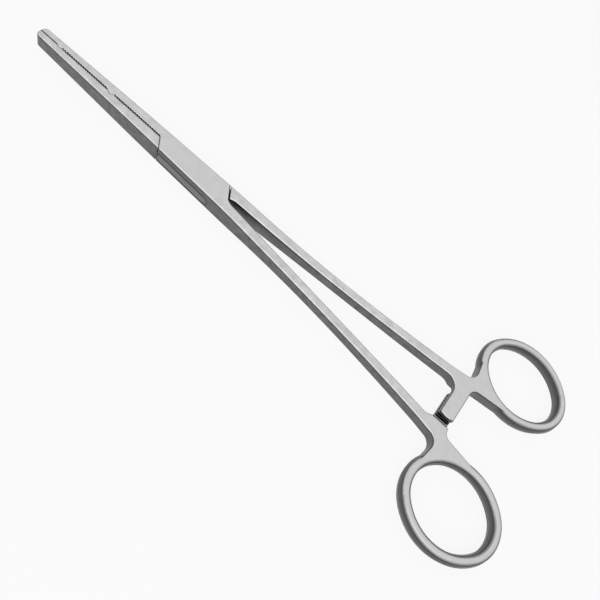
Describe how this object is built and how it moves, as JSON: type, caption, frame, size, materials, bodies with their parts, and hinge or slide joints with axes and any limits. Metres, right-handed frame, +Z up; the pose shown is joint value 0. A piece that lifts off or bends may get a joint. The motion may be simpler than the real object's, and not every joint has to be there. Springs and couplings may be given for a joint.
{
  "type": "hysterectomy forceps",
  "caption": "Long straight ring-handled clamping forceps with toothed, serrated jaws, a box lock pivot and a handle ratchet that holds the jaws closed.",
  "frame": {"origin": "on the lock pin's axis, at the level of the lock's lower face", "axes": "+X towards the jaw tips along the instrument, +Y to the side of the female half's finger ring, +Z up through the thickness"},
  "size_m": [0.1983, 0.078, 0.0063],
  "materials": {
    "satin_steel": "satin, fine glass-bead and brushed finish on forged stainless steel"
  },
  "bodies": {
    "female_side": {"female_half": "satin_steel", "lock_pin": "satin_steel"},
    "male_side": {"male_half": "satin_steel"}
  },
  "joints": [
    {"name": "lock_pivot", "type": "hinge", "parent": "female_side", "child": "male_side", "pos_m": [0, 0, 0], "axis": [0, 0, 1], "range_deg": [0, 60]}
  ]
}
